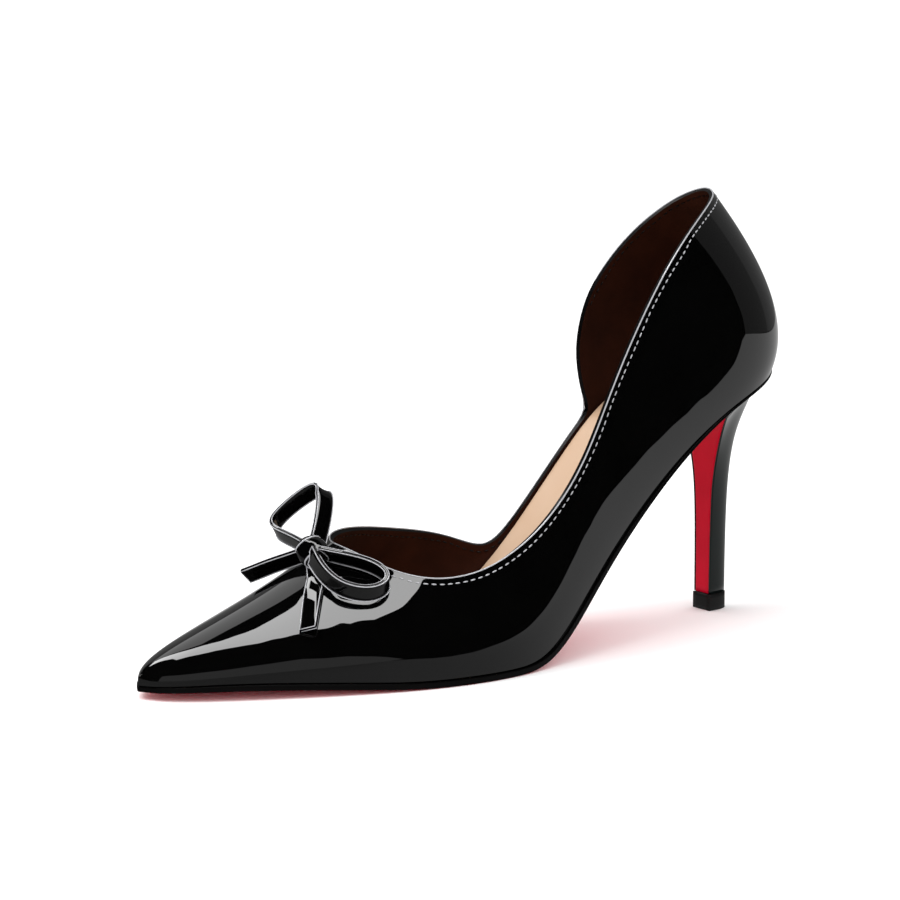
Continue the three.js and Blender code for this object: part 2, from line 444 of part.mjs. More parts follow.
// A thin plate under the foot, between two layers. outwardAt gives how far its edge lies outside the
// feather line at a place, a layer is a share of the sole's thickness and a clear height above it.
function footPlate(outwardAt, lowLayer, highLayer) {
  const count = COLUMN_PLACES.length;
  const half = count / 2;
  const edge = COLUMN_PLACES.map((place) => featherPoint(place, outwardAt(place)));
  const points = [];
  const triangles = [];
  const layers = [lowLayer, highLayer].map((layer) => {
    const lift = (x, y) => new THREE.Vector3(x, y, layerHeight(x, y, layer.soleShare, layer.above));
    const lines = [];
    for (let step = 0; step <= half; step += 1) {
      const outer = edge[step];
      const inner = edge[(count - step) % count];
      const line = [];
      for (let column = 0; column <= PLATE_COLUMNS; column += 1) {
        const share = column / PLATE_COLUMNS;
        const x = outer.x + (inner.x - outer.x) * share;
        const y = outer.y + (inner.y - outer.y) * share;
        line.push(points.push(lift(x, y)) - 1);
      }
      lines.push(line);
    }
    return lines;
  });
  const [low, high] = layers;
  const end = PLATE_COLUMNS;
  for (let step = 0; step < half; step += 1) {
    const [lowHere, lowNext] = [low[step], low[step + 1]];
    const [highHere, highNext] = [high[step], high[step + 1]];
    for (let column = 0; column < end; column += 1) {
      square(triangles, lowHere[column], lowHere[column + 1], lowNext[column + 1], lowNext[column]);
      square(triangles, highHere[column], highNext[column], highNext[column + 1], highHere[column + 1]);
    }
    square(triangles, lowHere[0], lowNext[0], highNext[0], highHere[0]);
    square(triangles, lowNext[end], lowHere[end], highHere[end], highNext[end]);
  }
  // The lines shrink to a point at the toe and at the back, and their flat triangles are left out.
  const apart = (a, b) => points[a].distanceTo(points[b]) > SAME_POINT;
  return solid(points, triangles.filter(([a, b, c]) => apart(a, b) && apart(b, c) && apart(c, a)));
}

// The upper: outside from the feather line to the topline, inside back down, rims between.
function makeUpper() {
  const shares = Array.from({ length: WALL_ROWS + 1 }, (unused, row) => row / WALL_ROWS);
  const outside = shares.map((share) => COLUMN_PLACES.map((place) => upperPoint(place, share)));
  const inside = shares.map((share) => COLUMN_PLACES.map((place) => {
    const point = upperPoint(place, share).addScaledVector(upperNormal(place, share), -UPPER_WALL);
    if (share === 0) {
      point.z = layerHeight(point.x, point.y, 1, SEAM_GAP);
    }
    return point;
  }));
  return ringSolid([...outside, ...inside.reverse()]);
}

// How far the sole's edge lies outside the feather line.
function soleOverhang(place) {
  return soleRow(featherPoint(place, 0).x).margin * SOLE_MARGIN;
}

function makeOutsole() {
  return footPlate(soleOverhang, { soleShare: 0, above: 0 }, { soleShare: 1, above: 0 });
}

// The insole lies inside the wall, and stays clear where the wall leans inward above the feather line.
function makeInsole() {
  const top = SEAM_GAP + INSOLE_THICKNESS;
  const inset = (place) => {
    const foot = featherPoint(place, 0);
    let lean = -UPPER_WALL;
    for (let step = 1; step <= INSOLE_FIT_STEPS / 2; step += 1) {
      const share = step / INSOLE_FIT_STEPS;
      const point = upperPoint(place, share).addScaledVector(upperNormal(place, share), -UPPER_WALL);
      if (point.z < layerHeight(foot.x, foot.y, 1, top) + INSOLE_GAP) {
        lean = Math.min(lean, (point.x - foot.x) * foot.normal.x + (point.y - foot.y) * foot.normal.y);
      }
    }
    return lean - INSOLE_GAP;
  };
  return footPlate(inset, { soleShare: 1, above: SEAM_GAP }, { soleShare: 1, above: top });
}

// Place in the rib table of the back of the counter: the row with the longest reach.
function backPlace() {
  return RIBS.reduce((best, rib, index) => (rib.footX > RIBS[best].footX ? index : best), 0);
}

// Place between the toe, at start, and the back where the feather line reaches a distance from the toe tip.
function placeAlong(start, x) {
  let low = start;
  let high = backPlace();
  while (Math.abs(high - low) > SAME_POINT) {
    const middle = (low + high) / 2;
    if (closedRow(RIBS, middle).footX * LENGTH < x) {
      low = middle;
    } else {
      high = middle;
    }
  }
  return high;
}

// Outline of the heel's seat and of its shaft, as matching rings: a flat breast with a pocket for the
// cover in front, and the round back behind. pocket is the depth of the pocket.
function heelRings(pocket) {
  const seatFront = LENGTH - BREAST_SETBACK;
  const from = placeAlong(0, seatFront);
  const to = placeAlong(RIBS.length, seatFront);
  const shaftFront = LENGTH - SHAFT_SETBACK - SHAFT_DEPTH;
  const ring = [];
  for (let step = 0; step <= HEEL_BACK_STEPS; step += 1) {
    const share = step / HEEL_BACK_STEPS;
    const angle = (share - 0.5) * Math.PI;
    const inset = SEAT_INSET + (SEAT_BACK_INSET - SEAT_INSET) * Math.pow(Math.cos(angle), 2);
    const seat = featherPoint(from + (to - from) * share, -inset);
    const depth = Math.pow(Math.max(Math.cos(angle), 0), SHAFT_ROUNDNESS) * SHAFT_DEPTH;
    const shaftY = (Math.sin(angle) * SHAFT_WIDTH) / 2;
    ring.push({ seatX: seat.x, seatY: seat.y, shaftX: shaftFront + depth, shaftY, aft: Math.cos(angle) });
  }
  const first = ring[0];
  const last = ring[ring.length - 1];
  const front = [];
  for (let step = 0; step <= HEEL_FRONT_STEPS; step += 1) {
    const share = 1 - (2 * step) / HEEL_FRONT_STEPS;
    const seatHalf = (last.seatY - first.seatY) / 2 - COVER_LIP;
    const seatMid = (last.seatY + first.seatY) / 2;
    const shaftHalf = SHAFT_WIDTH / 2 - COVER_LIP;
    const column = { seatY: seatMid + share * seatHalf, shaftY: share * shaftHalf };
    front.push({ ...column, seatX: seatFront + pocket, shaftX: shaftFront + pocket, aft: 0 });
  }
  const lipEnd = { ...front[0], seatX: seatFront, shaftX: shaftFront };
  const lipStart = { ...front[front.length - 1], seatX: seatFront, shaftX: shaftFront };
  return { body: [...ring, lipEnd, ...front, lipStart], front };
}

// A level of the heel between its shaft and its seat.
function heelLevel(columns, row, base) {
  return columns.map((column) => {
    const growth = row.breast + (row.reach - row.breast) * column.aft;
    const x = column.shaftX + (column.seatX - column.shaftX) * growth;
    const y = column.shaftY + (column.seatY - column.shaftY) * row.spread;
    const top = soleBottom(column.seatX, column.seatY) - HEEL_GAP * slopeFactor(column.seatX);
    return new THREE.Vector3(x, y, base + (top - base) * row.height);
  });
}

// Triangles that close a level of the heel by a ladder across it, which follows the dished seat and goes
// round the pocket in front.
function heelCap(points, ring, first) {
  const triangles = [];
  const back = HEEL_BACK_STEPS;
  for (let rung = 1; rung < back / 2; rung += 1) {
    square(triangles, rung, rung + 1, back - rung - 1, back - rung);
  }
  const pocket = back + 2;
  const middle = pocket + HEEL_FRONT_STEPS / 2;
  const end = pocket + HEEL_FRONT_STEPS;
  square(triangles, back, back + 1, pocket, back - 1);
  square(triangles, 0, 1, end, end + 1);
  for (let column = pocket; column < end; column += 1) {
    triangles.push([column < middle ? back - 1 : 1, column, column + 1]);
  }
  triangles.push([back - 1, middle, 1]);
  const whole = triangles.filter(([a, b, c]) => a !== b && b !== c);
  return whole.map((face) => face.map((corner) => first + corner));
}

function makeHeel() {
  const base = TOP_PIECE_HEIGHT + SEAM_GAP;
  const { body } = heelRings(COVER_THICKNESS + COVER_GAP);
  return cappedSolid(HEEL_ROWS.map((row) => heelLevel(body, row, base)), heelCap);
}

// The cover of the heel's breast: a thin plate in the pocket.
function makeBreastCover() {
  const base = TOP_PIECE_HEIGHT + SEAM_GAP;
  const { front } = heelRings(0);
  const narrow = (column) => {
    const seatMid = (front[0].seatY + front[front.length - 1].seatY) / 2;
    const seatHalf = Math.abs(front[0].seatY - seatMid);
    const shaftHalf = Math.abs(front[0].shaftY);
    return {
      ...column,
      seatY: seatMid + ((column.seatY - seatMid) * (seatHalf - COVER_GAP)) / seatHalf,
      shaftY: (column.shaftY * (shaftHalf - COVER_GAP)) / shaftHalf,
    };
  };
  const outer = front.map(narrow);
  const inner = outer.map((column) => ({
    ...column,
    seatX: column.seatX + COVER_THICKNESS,
    shaftX: column.shaftX + COVER_THICKNESS,
  })).reverse();
  return cappedSolid(HEEL_ROWS.map((row) => heelLevel([...outer, ...inner], row, base)));
}

function makeTopPiece() {
  const shaftFront = LENGTH - SHAFT_SETBACK - SHAFT_DEPTH - TOP_PIECE_MARGIN;
  const depth = SHAFT_DEPTH + 2 * TOP_PIECE_MARGIN;
  const half = SHAFT_WIDTH / 2 + TOP_PIECE_MARGIN;
  const ring = (z) => Array.from({ length: HEEL_BACK_STEPS + 1 }, (unused, step) => {
    const angle = (step / HEEL_BACK_STEPS - 0.5) * Math.PI;
    const back = Math.pow(Math.max(Math.cos(angle), 0), SHAFT_ROUNDNESS) * depth;
    return new THREE.Vector3(shaftFront + back, Math.sin(angle) * half, z);
  });
  return cappedSolid([ring(0), ring(TOP_PIECE_HEIGHT)]);
}

// The point that the ribbons of the bow are measured from.
function bowMiddle() {
  return new THREE.Vector3(BOW_SETBACK, 0, INSTEP_HEIGHT - BOW_DROP);
}

// A ribbon of the bow along a table of its middle line, with chamfered edges.
function makeRibbon(rows, steps) {
  const middleAt = (share) => {
    const row = openRow(rows, share * (rows.length - 1));
    const offset = new THREE.Vector3(row.back, row.over, row.up).multiplyScalar(BOW_REACH);
    return { point: offset.add(bowMiddle()), row };
  };
  const half = RIBBON_WIDTH / 2;
  const thick = RIBBON_THICKNESS / 2;
  const cut = RIBBON_ROUNDING;
  const section = [
    [-half + cut, -thick], [half - cut, -thick], [half, -thick + cut], [half, thick - cut],
    [half - cut, thick], [-half + cut, thick], [-half, thick - cut], [-half, -thick + cut],
  ];
  const rings = [];
  for (let step = 0; step <= steps; step += 1) {
    const share = step / steps;
    const { point, row } = middleAt(share);
    const ahead = middleAt(Math.min(share + SLOPE_STEP, 1)).point;
    const behind = middleAt(Math.max(share - SLOPE_STEP, 0)).point;
    const along = ahead.sub(behind).normalize();
    const across = new THREE.Vector3(row.faceBack, row.faceOver, row.faceUp);
    across.addScaledVector(along, -across.dot(along)).normalize();
    const through = along.clone().cross(across);
    rings.push(section.map(([wide, deep]) =>
      point.clone().addScaledVector(across, wide).addScaledVector(through, deep)));
  }
  return cappedSolid(rings);
}

// The bow's knot, a flattened round body that leans over the throat. margin lets it out all round.
function makeKnot(margin) {
  const through = new THREE.Vector3(KNOT_FACE.back, KNOT_FACE.over, KNOT_FACE.up).normalize();
  const across = through.clone().cross(new THREE.Vector3(1, 0, 0)).normalize();
  const along = across.clone().cross(through);
  const middle = bowMiddle().add(new THREE.Vector3(-KNOT_FORWARD, KNOT_OFFSET, KNOT_RISE));
  const rings = [];
  for (let level = 1; level < KNOT_LEVELS; level += 1) {
    const tilt = (level / KNOT_LEVELS - 0.5) * Math.PI;
    const reach = Math.cos(tilt);
    rings.push(Array.from({ length: KNOT_STEPS }, (unused, step) => {
      const turn = (2 * Math.PI * step) / KNOT_STEPS;
      const point = middle.clone().addScaledVector(through, Math.sin(tilt) * (KNOT_THICKNESS / 2 + margin));
      point.addScaledVector(along, Math.cos(turn) * reach * (KNOT_LENGTH / 2 + margin));
      return point.addScaledVector(across, Math.sin(turn) * reach * (KNOT_WIDTH / 2 + margin));
    }));
  }
  return cappedSolid(rings);
}

function asManifold(geometry) {
  return new manifold.Manifold(new manifold.Mesh({
    numProp: 3,
    vertProperties: new Float32Array(geometry.attributes.position.array),
    triVerts: new Uint32Array(geometry.index.array),
  }));
}

// A ribbon cut back so that it ends at the knot.
function trimmedRibbon(rows, steps) {
  const cut = asManifold(makeRibbon(rows, steps)).subtract(asManifold(makeKnot(KNOT_GAP))).getMesh();
  const geometry = new THREE.BufferGeometry();
  geometry.setAttribute('position', new THREE.Float32BufferAttribute(cut.vertProperties, cut.numProp));
  geometry.setIndex(Array.from(cut.triVerts));
  geometry.computeVertexNormals();
  return geometry;
}

// Finishes of the pieces
const FINISHES = {
  patent: new THREE.MeshStandardMaterial({ color: '#0c0b0c', roughness: 0.08, metalness: 0 }),
  leather: new THREE.MeshStandardMaterial({ color: '#e3c4a6', roughness: 0.6, metalness: 0 }),
  lacquer: new THREE.MeshStandardMaterial({ color: '#b01426', roughness: 0.3, metalness: 0 }),
  rubber: new THREE.MeshStandardMaterial({ color: '#121212', roughness: 0.7, metalness: 0 }),
};

const group = new THREE.Group();

function addPiece(name, geometry, finish) {
  const mesh = new THREE.Mesh(geometry, finish.clone());
  mesh.name = name;
  group.add(mesh);
}

addPiece('outsole', makeOutsole(), FINISHES.lacquer);
addPiece('insole', makeInsole(), FINISHES.leather);
addPiece('upper', makeUpper(), FINISHES.patent);
addPiece('heel', makeHeel(), FINISHES.patent);
addPiece('heel_breast', makeBreastCover(), FINISHES.lacquer);
addPiece('top_piece', makeTopPiece(), FINISHES.rubber);
addPiece('bow_knot', makeKnot(0), FINISHES.patent);
addPiece('bow_loop_inner', trimmedRibbon(INNER_LOOP, LOOP_STEPS), FINISHES.patent);
addPiece('bow_loop_outer', trimmedRibbon(OUTER_LOOP, LOOP_STEPS), FINISHES.patent);
addPiece('bow_tail_inner', trimmedRibbon(INNER_TAIL, TAIL_STEPS), FINISHES.patent);
addPiece('bow_tail_outer', trimmedRibbon(OUTER_TAIL, TAIL_STEPS), FINISHES.patent);

// The origin lies on the floor under the middle of the shoe.
const box = new THREE.Box3().setFromObject(group);
const middle = box.getCenter(new THREE.Vector3());
group.position.set(-middle.x, -middle.y, -box.min.z);

export default group;
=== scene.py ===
"""Left court shoe in black patent leather, with a bow, a crimson sole and a slim covered heel.

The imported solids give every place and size. Each is copied, smoothed and given its finish, and the bead
and stitching of the topline, the rolled edges of the bow and the studio are added round them. All lengths
are in metres.
"""

import logging
import math
from dataclasses import dataclass, field
from enum import Enum

import bmesh
import bpy
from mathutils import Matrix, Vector
from mathutils.bvhtree import BVHTree

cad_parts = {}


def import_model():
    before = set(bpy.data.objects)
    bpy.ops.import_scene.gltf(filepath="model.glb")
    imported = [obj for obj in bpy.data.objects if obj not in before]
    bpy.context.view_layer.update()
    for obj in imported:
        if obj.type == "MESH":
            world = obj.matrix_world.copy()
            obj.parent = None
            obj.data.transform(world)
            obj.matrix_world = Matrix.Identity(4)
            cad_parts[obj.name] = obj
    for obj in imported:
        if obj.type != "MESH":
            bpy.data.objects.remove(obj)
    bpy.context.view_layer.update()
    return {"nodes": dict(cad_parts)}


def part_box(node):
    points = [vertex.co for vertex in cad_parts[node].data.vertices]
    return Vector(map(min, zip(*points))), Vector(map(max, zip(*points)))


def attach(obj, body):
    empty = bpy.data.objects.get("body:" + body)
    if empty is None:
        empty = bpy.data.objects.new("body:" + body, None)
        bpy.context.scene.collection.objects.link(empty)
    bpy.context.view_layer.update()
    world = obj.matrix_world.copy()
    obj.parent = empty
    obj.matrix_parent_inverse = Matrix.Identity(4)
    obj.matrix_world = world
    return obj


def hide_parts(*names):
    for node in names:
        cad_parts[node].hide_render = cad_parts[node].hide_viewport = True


LOG = logging.getLogger("court_shoe")
MM = 0.001
BODY = "root"
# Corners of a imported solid's triangles that lie closer than this are one point.
JOIN_REACH = 0.001 * MM
# How many times the faces of a finished piece are divided, and how many strips go round a rounded edge.
SUBDIVISIONS = 2
ROUND_STRIPS = 2
# Edge marks of a mesh that the Bevel and the Subdivision Surface modifiers read.
BEVEL_MARK = "bevel_weight_edge"
CREASE_MARK = "crease_edge"
# Sockets of the colour form of a Mix node, which share their names with those of its other forms.
MIX_SHARE, MIX_FIRST, MIX_SECOND, MIX_RESULT = 0, 6, 7, 2
# Sockets of a Map Range node.
MAP_VALUE, MAP_FROM_LOW, MAP_FROM_HIGH, MAP_TO_LOW, MAP_TO_HIGH = range(5)


# ---------------------------------------------------------------- materials


def linear(code: str) -> tuple[float, float, float, float]:
    """Turns an sRGB hex colour into linear red, green, blue and alpha.

    Args:
        code: the colour as "#rrggbb".

    Returns:
        The four linear values.
    """
    channels = [int(code[start : start + 2], 16) / 255 for start in (1, 3, 5)]
    values = [c / 12.92 if c <= 0.04045 else ((c + 0.055) / 1.055) ** 2.4 for c in channels]
    return values[0], values[1], values[2], 1.0


def add_node(
    tree: bpy.types.NodeTree,
    kind: str,
    settings: dict | None = None,
    values: dict | None = None,
    links: dict | None = None,
) -> bpy.types.Node:
    """Adds a node with its settings and links.

    Args:
        tree: the tree that takes the node.
        kind: the node's type.
        settings: the node's own properties by name.
        values: constants for its sockets by name or number.
        links: output sockets of other nodes by the name or number of the socket that they feed.

    Returns:
        The new node.
    """
    node = tree.nodes.new(kind)
    for name, value in (settings or {}).items():
        setattr(node, name, value)
    for socket, value in (values or {}).items():
        node.inputs[socket].default_value = value
    for socket, source in (links or {}).items():
        tree.links.new(source, node.inputs[socket])
    return node


def new_material(name: str) -> tuple[bpy.types.Material, bpy.types.NodeTree]:
    """Makes an empty material.

    Args:
        name: what the real material is.

    Returns:
        The material and its node tree.
    """
    material = bpy.data.materials.new(name)
    material.use_nodes = True
    material.node_tree.nodes.clear()
    return material, material.node_tree


@dataclass(frozen=True)
class Coated:
    """A coloured body under a clear coat, with a fine grain and slow waves in its surface."""

    name: str
    colour: str
    # The second tone, mixed in at random by the slow waves. In the edge and thread finishes it is part of a
    # painted highlight, in the heel finish part of a painted reflection.
    colour_mottle: str
    roughness: float
    coat: float
    coat_roughness: float
    grain: float = 0.5 * MM
    grain_height: float = 0.002 * MM
    wave: float = 9.0 * MM
    wave_height: float = 0.004 * MM
    specular: float = 0.5
    coat_ior: float = 1.5
    grain_detail: float = 3.0
    wave_detail: float = 1.0

    def material(self) -> bpy.types.Material:
        """Makes the material.

        Returns:
            The finished material.
        """
        material, tree = new_material(self.name)
        place = add_node(tree, "ShaderNodeTexCoord").outputs["Object"]
        grain = self.noise(tree, place, self.grain, self.grain_detail)
        wave = self.noise(tree, place, self.wave, self.wave_detail)
        tone = add_node(
            tree,
            "ShaderNodeMix",
            {"data_type": "RGBA"},
            {MIX_FIRST: linear(self.colour), MIX_SECOND: linear(self.colour_mottle)},
            {MIX_SHARE: wave.outputs["Fac"]},
        )
        slow = self.bump(tree, self.wave_height, {"Height": wave.outputs["Fac"]})
        fine = self.bump(
            tree, self.grain_height, {"Height": grain.outputs["Fac"], "Normal": slow.outputs["Normal"]}
        )
        shader = add_node(
            tree,
            "ShaderNodeBsdfPrincipled",
            values={
                "Roughness": self.roughness,
                "Specular IOR Level": self.specular,
                "Coat Weight": self.coat,
                "Coat Roughness": self.coat_roughness,
                "Coat IOR": self.coat_ior,
            },
            links={
                "Base Color": tone.outputs[MIX_RESULT],
                "Normal": fine.outputs["Normal"],
                "Coat Normal": slow.outputs["Normal"],
            },
        )
        add_node(tree, "ShaderNodeOutputMaterial", links={"Surface": shader.outputs["BSDF"]})
        return material

    @staticmethod
    def noise(
        tree: bpy.types.NodeTree, place: bpy.types.NodeSocket, size: float, detail: float
    ) -> bpy.types.Node:
        """Adds noise whose spots are of a real size."""
        return add_node(
            tree, "ShaderNodeTexNoise", values={"Scale": 1 / size, "Detail": detail}, links={"Vector": place}
        )

    @staticmethod
    def bump(
        tree: bpy.types.NodeTree, height: float, links: dict[str, bpy.types.NodeSocket]
    ) -> bpy.types.Node:
        """Adds a relief of a real height."""
        return add_node(
            tree, "ShaderNodeBump", values={"Strength": 1.0, "Distance": height}, links=links
        )


# Patent leather: split leather under a poured polyurethane film. Mirror-like, black, with barely seen waves.
PATENT = Coated(
    "black_patent_leather", "#020202", "#040404", 0.4, 1.0, 0.012,
    wave=12 * MM, wave_height=0.045 * MM, specular=0.0,
)
# Heel cover: the same black film over a turned core. Its green-grey tint is a painted reflection, mixed at
# random with a paler tone of it.
PATENT_HEEL = Coated(
    "stretched_patent_heel_cover", "#0b100f", "#101514", 0.4, 0.8, 0.03,
    specular=0.0, coat_ior=1.35,
)
# Rolled edge of patent leather, really black: its pale grey is a painted highlight, so that the fold reads as
# a thin bright line.
PAINTED_EDGE_HIGHLIGHT = Coated(
    "rolled_patent_edge", "#98989c", "#aeaeb2", 0.35, 0.8, 0.1,
    specular=0.4, coat_ior=1.8,
)
# Kidskin lining, dyed dark brown and left matt: soft, with fine pores and uneven dye.
LINING = Coated(
    "dyed_kidskin_lining", "#220c05", "#3a190b", 0.7, 0.0, 0.4,
    grain=0.7 * MM, grain_height=0.03 * MM, specular=0.08,
)
# Sock of undyed calf: smooth and satin, with a fine pore grain.
CALF = Coated(
    "undyed_calf_sock", "#c3a68c", "#ba987a", 0.5, 0.08, 0.35,
    grain=0.6 * MM, grain_height=0.025 * MM, wave=14 * MM, specular=0.3,
)
# Sole leather under crimson lacquer: glossy, deep and even.
LACQUER = Coated(
    "crimson_lacquered_leather", "#c2082a", "#a90522", 0.5, 0.12, 0.1,
    wave=12 * MM, specular=0.03,
)
# Cut leather edge under black dye and wax: dark, with a dull shine.
EDGE_INK = Coated(
    "waxed_black_sole_edge", "#030202", "#060505", 0.5, 0.1, 0.12,
    grain=0.4 * MM, grain_height=0.015 * MM, specular=0.05,
)
# Top piece of moulded hard rubber: matt, faintly pitted.
RUBBER = Coated(
    "moulded_hard_rubber", "#0c0c0c", "#121212", 0.6, 0.05, 0.4,
    grain=0.35 * MM, grain_height=0.02 * MM, specular=0.2,
)
# Bonded polyester thread, waxed and really black: its pale grey all along each stitch is a painted highlight.
THREAD_HIGHLIGHT = Coated(
    "waxed_polyester_thread", "#8f8f92", "#b6b6ba", 0.35, 0.4, 0.2,
    grain=0.2 * MM, grain_height=0.02 * MM,
)
# The same seam seen on the lining, sewn in dark brown thread.
THREAD_BROWN = Coated(
    "brown_lining_thread", "#070303", "#0d0504", 0.6, 0.1, 0.3,
    grain=0.2 * MM, grain_height=0.02 * MM, specular=0.2,
)
FINISHES = (PATENT, PATENT_HEEL, PAINTED_EDGE_HIGHLIGHT, LINING, CALF, LACQUER, EDGE_INK, RUBBER, THREAD_HIGHLIGHT, THREAD_BROWN)
# The finished materials by name, filled in before the first piece is painted.
MATERIALS: dict[str, bpy.types.Material] = {}


# ---------------------------------------------------------------- modelling helpers


class Run(Enum):
    """How a bead goes from point to point."""

    SMOOTH = "NURBS"
    STRAIGHT = "POLY"


def put(name: str, data: bpy.types.ID) -> bpy.types.Object:
    """Makes an object and puts it in the scene.

    Args:
        name: the object's name.
        data: its mesh, curve, camera or light.

    Returns:
        The object.
    """
    item = bpy.data.objects.new(name, data)
    bpy.context.scene.collection.objects.link(item)
    return item


def select_only(piece: bpy.types.Object) -> None:
    """Deselects everything and makes one object selected and active.

    Args:
        piece: the object to work on.
    """
    if bpy.context.object and bpy.context.object.mode != "OBJECT":
        bpy.ops.object.mode_set(mode="OBJECT")
    bpy.ops.object.select_all(action="DESELECT")
    piece.select_set(True)
    bpy.context.view_layer.objects.active = piece


def copy_node(node: bpy.types.Object, name: str) -> bpy.types.Object:
    """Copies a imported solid, joins its loose triangles and pairs them into four-sided faces.

    Args:
        node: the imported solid, which stays as it is.
        name: the copy's name.

    Returns:
        The copy.
    """
    piece = put(name, node.data.copy())
    piece.data.name = name
    piece.data.materials.clear()
    select_only(piece)
    bpy.ops.object.mode_set(mode="EDIT")
    bpy.ops.mesh.select_all(action="SELECT")
    bpy.ops.mesh.remove_doubles(threshold=JOIN_REACH)
    bpy.ops.mesh.tris_convert_to_quads(
        face_threshold=math.pi, shape_threshold=math.pi, topology_influence=1.0
    )
    bpy.ops.object.mode_set(mode="OBJECT")
    return piece


@dataclass
class Patch:
    """Faces of a mesh that meet at soft angles, with their area, mean direction and mean height."""

    faces: list[int]
    area: float
    facing: Vector
    height: float


def find_patches(piece: bpy.types.Object, corner: float) -> list[Patch]:
    """Splits a mesh into patches along its hard edges, and marks those edges for a bevel.

    Args:
        piece: the mesh object.
        corner: the angle between faces, in radians, from which an edge is hard.

    Returns:
        The patches, largest first.
    """
    mesh = bmesh.new()
    mesh.from_mesh(piece.data)
    mesh.faces.ensure_lookup_table()
    layers = mesh.edges.layers.float
    weight = layers.get(BEVEL_MARK) or layers.new(BEVEL_MARK)
    patches = []
    seen: set[int] = set()
    for start in mesh.faces:
        if start.index in seen:
            continue
        seen.add(start.index)
        stack = [start]
        faces = []
        while stack:
            face = stack.pop()
            faces.append(face)
            for edge in face.edges:
                if len(edge.link_faces) != 2:
                    continue
                if edge.calc_face_angle(0.0) > corner:
                    edge[weight] = 1.0
                    continue
                for other in edge.link_faces:
                    if other.index not in seen:
                        seen.add(other.index)
                        stack.append(other)
        area = sum(face.calc_area() for face in faces)
        facing = sum((face.normal * face.calc_area() for face in faces), Vector()) / area
        height = sum(face.calc_center_median().z for face in faces) / len(faces)
        patches.append(Patch([face.index for face in faces], area, facing, height))
    mesh.to_mesh(piece.data)
    mesh.free()
    return sorted(patches, key=lambda patch: -patch.area)


def paint(piece: bpy.types.Object, finishes: list[Coated], slots: dict[int, list[int]]) -> None:
    """Gives faces their finishes.

    Args:
        piece: the mesh object.
        finishes: the finish of each material slot; all faces start in the first.
        slots: face numbers by the slot that they move to.
    """
    for finish in finishes:
        piece.data.materials.append(MATERIALS[finish.name])
    for slot, faces in slots.items():
        for face in faces:
            piece.data.polygons[face].material_index = slot


def apply_modifier(piece: bpy.types.Object, kind: str, **settings: object) -> None:
    """Adds a modifier and applies it.

    Args:
        piece: the mesh object.
        kind: the modifier's type.
        settings: its properties.
    """
    select_only(piece)
    modifier = piece.modifiers.new(kind.lower(), kind)
    for name, value in settings.items():
        setattr(modifier, name, value)
    bpy.ops.object.modifier_apply(modifier=modifier.name)


def round_and_smooth(piece: bpy.types.Object, bevel: float = 0.0) -> None:
    """Rounds the marked edges, subdivides the mesh and shades it smooth.

    Args:
        piece: the mesh object.
        bevel: how far the rounding reaches from an edge, or 0 where the edges stay as they are.
    """
    if bevel:
        apply_modifier(
            piece, "BEVEL", limit_method="WEIGHT", width=bevel, segments=ROUND_STRIPS, loop_slide=False
        )
    apply_modifier(piece, "SUBSURF", levels=SUBDIVISIONS, render_levels=SUBDIVISIONS)
    select_only(piece)
    bpy.ops.object.shade_smooth()


def joined_points(edges: list[bmesh.types.BMEdge]) -> dict[int, list[int]]:
    """Notes which points some edges join.

    Args:
        edges: the edges.

    Returns:
        The numbers of the points beside each point, by its own number.
    """
    beside: dict[int, list[int]] = {}
    for edge in edges:
        a, b = (vert.index for vert in edge.verts)
        beside.setdefault(a, []).append(b)
        beside.setdefault(b, []).append(a)
    return beside


def border_of(piece: bpy.types.Object, faces: set[int]) -> list[list[Vector]]:
    """Follows the closed edges round some faces.

    Args:
        piece: the mesh object.
        faces: the faces.

    Returns:
        The points of each closed edge, in order.
    """
    mesh = bmesh.new()
    mesh.from_mesh(piece.data)
    mesh.verts.ensure_lookup_table()
    beside = joined_points(
        [edge for edge in mesh.edges if sum(face.index in faces for face in edge.link_faces) == 1]
    )
    loops = []
    while beside:
        here = next(iter(beside))
        loop = []
        while here is not None:
            loop.append(mesh.verts[here].co.copy())
            ahead = beside.pop(here)
            here = next((index for index in ahead if index in beside), None)
        loops.append(loop)
    mesh.free()
    return loops


def keep_corners(piece: bpy.types.Object) -> None:
    """Keeps the marked edges sharp when the mesh is subdivided.

    Args:
        piece: the mesh object.
    """
    mesh = bmesh.new()
    mesh.from_mesh(piece.data)
    layers = mesh.edges.layers.float
    crease = layers.get(CREASE_MARK) or layers.new(CREASE_MARK)
    weight = layers[BEVEL_MARK]
    for edge in mesh.edges:
        edge[crease] = edge[weight]
    mesh.to_mesh(piece.data)
    mesh.free()


def bead_along(name: str, points: list[Vector], radius: float, run: Run) -> bpy.types.Object:
    """Makes a thin round bead along a closed run of points.

    Args:
        name: the bead's name.
        points: the points that it follows, in order.
        radius: its radius.
        run: whether it goes in a smooth curve near the points, or straight from each to the next.

    Returns:
        The bead as a mesh object.
    """
    curve = bpy.data.curves.new(name, "CURVE")
    curve.dimensions = "3D"
    spline = curve.splines.new(run.value)
    spline.points.add(len(points) - 1)
    for point, place in zip(spline.points, points):
        point.co = (*place, 1.0)
    spline.use_cyclic_u = True
    if run is Run.SMOOTH:
        spline.order_u = 4
        spline.resolution_u = 3
    curve.bevel_depth = radius
    curve.bevel_resolution = 2
    select_only(put(name, curve))
    bpy.ops.object.convert(target="MESH")
    piece = bpy.context.object
    bpy.ops.object.shade_smooth()
    return piece


def settle(piece: bpy.types.Object, slot: str, *nodes: str) -> None:
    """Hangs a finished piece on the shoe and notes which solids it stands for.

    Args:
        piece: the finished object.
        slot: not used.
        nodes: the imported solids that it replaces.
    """
    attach(piece, BODY)
    if nodes:
        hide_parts(*nodes)
    stands_for = ", ".join(nodes) or "nothing"
    LOG.info("%s: %d faces, stands for %s", piece.name, len(piece.data.polygons), stands_for)


# ---------------------------------------------------------------- the shoe


